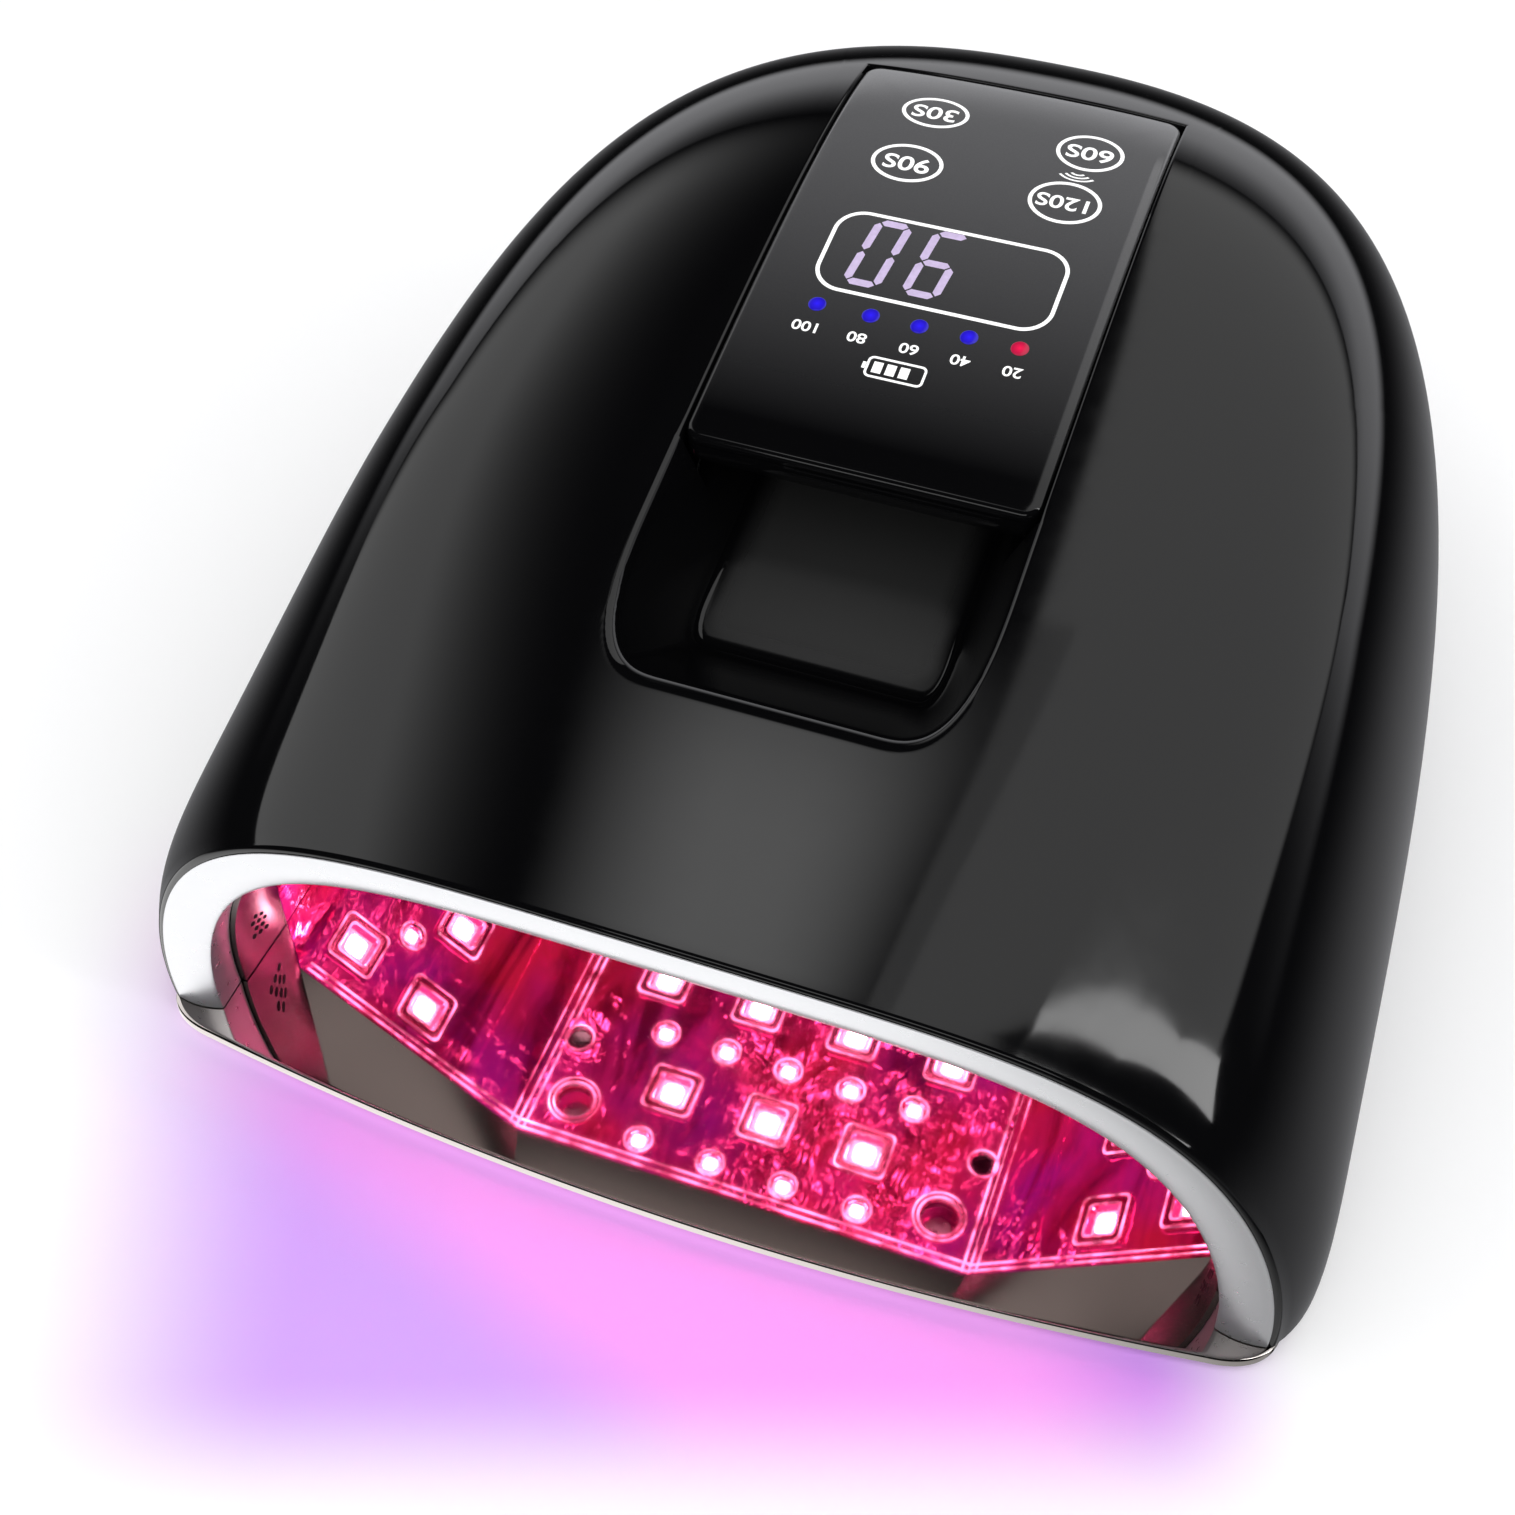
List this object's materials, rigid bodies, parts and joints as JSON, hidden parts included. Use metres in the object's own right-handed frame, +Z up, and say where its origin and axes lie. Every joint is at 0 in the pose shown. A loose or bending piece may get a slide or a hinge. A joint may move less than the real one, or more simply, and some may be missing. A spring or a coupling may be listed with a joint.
{
  "type": "uv led nail lamp",
  "caption": "Domed gloss-black nail lamp with an open front for the hand, mirror liner, timer panel on a carry handle and a steel base plate.",
  "frame": {"origin": "on the floor under the middle of the whole lamp", "axes": "+Z up, the hand opening faces -Y, +X is on the right of someone facing the opening"},
  "size_m": [0.2164, 0.2574, 0.1059],
  "materials": {
    "shell_black": "high-gloss moulded black ABS",
    "trim_silver": "satin chrome plated ABS",
    "inner_plastic": "moulded matt black ABS",
    "reflector": "vacuum-metallised plastic",
    "mirror_steel": "polished stainless steel",
    "led_board": "white solder mask on aluminium, LEDs lit",
    "sensor": "infra-red window, dark resin",
    "panel_gloss": "back-printed glossy acrylic",
    "circuit_board": "green solder mask",
    "rubber_pad": "matt black rubber",
    "magnet": "nickel-plated magnet",
    "screw_steel": "zinc-plated steel",
    "cell_sleeve": "steel can in a blue shrink sleeve",
    "light_pipe": "lit light pipe"
  },
  "bodies": {
    "base": {"base_plate": "mirror_steel", "foot_1": "rubber_pad", "foot_2": "rubber_pad", "foot_3": "rubber_pad", "foot_4": "rubber_pad"},
    "housing": {"top_shell": "shell_black", "handle_cup": "shell_black", "front_trim": "trim_silver", "bottom_frame": "inner_plastic", "entrance_hood": "reflector", "reflector_roof": "reflector", "reflector_left": "reflector", "reflector_right": "reflector", "reflector_rear": "reflector", "led_board_roof": "led_board", "led_board_left": "led_board", "led_board_right": "led_board", "sensor_left": "sensor", "sensor_right": "sensor", "control_deck": "inner_plastic", "control_panel": "panel_gloss", "touch_board": "circuit_board", "display_module": "inner_plastic", "battery_bracket": "inner_plastic", "main_board": "circuit_board", "dc_inlet": "inner_plastic", "power_switch": "inner_plastic", "magnet_1": "magnet", "chassis_screw_1": "screw_steel", "liner_screw_1": "screw_steel", "touch_spring_1": "screw_steel", "battery_cell_1": "cell_sleeve", "magnet_2": "magnet", "chassis_screw_2": "screw_steel", "liner_screw_2": "screw_steel", "touch_spring_2": "screw_steel", "battery_cell_2": "cell_sleeve", "magnet_3": "magnet", "chassis_screw_3": "screw_steel", "liner_screw_3": "screw_steel", "touch_spring_3": "screw_steel", "battery_cell_3": "cell_sleeve", "magnet_4": "magnet", "chassis_screw_4": "screw_steel", "liner_screw_4": "screw_steel", "touch_spring_4": "screw_steel", "battery_cell_4": "cell_sleeve", "battery_light_1": "light_pipe", "battery_light_2": "light_pipe", "battery_light_3": "light_pipe", "battery_light_4": "light_pipe", "battery_light_5": "light_pipe"},
    "rocker": {"power_rocker": "shell_black"}
  },
  "joints": [
    {"name": "lamp_lift", "type": "slide", "parent": "base", "child": "housing", "axis": [0, 0, 1], "range_m": [0, 0.06]},
    {"name": "power_rocker_tilt", "type": "hinge", "parent": "housing", "child": "rocker", "pos_m": [0.017, 0.1238, 0.024], "axis": [1, 0, 0], "range_deg": [0, 16.5]}
  ]
}
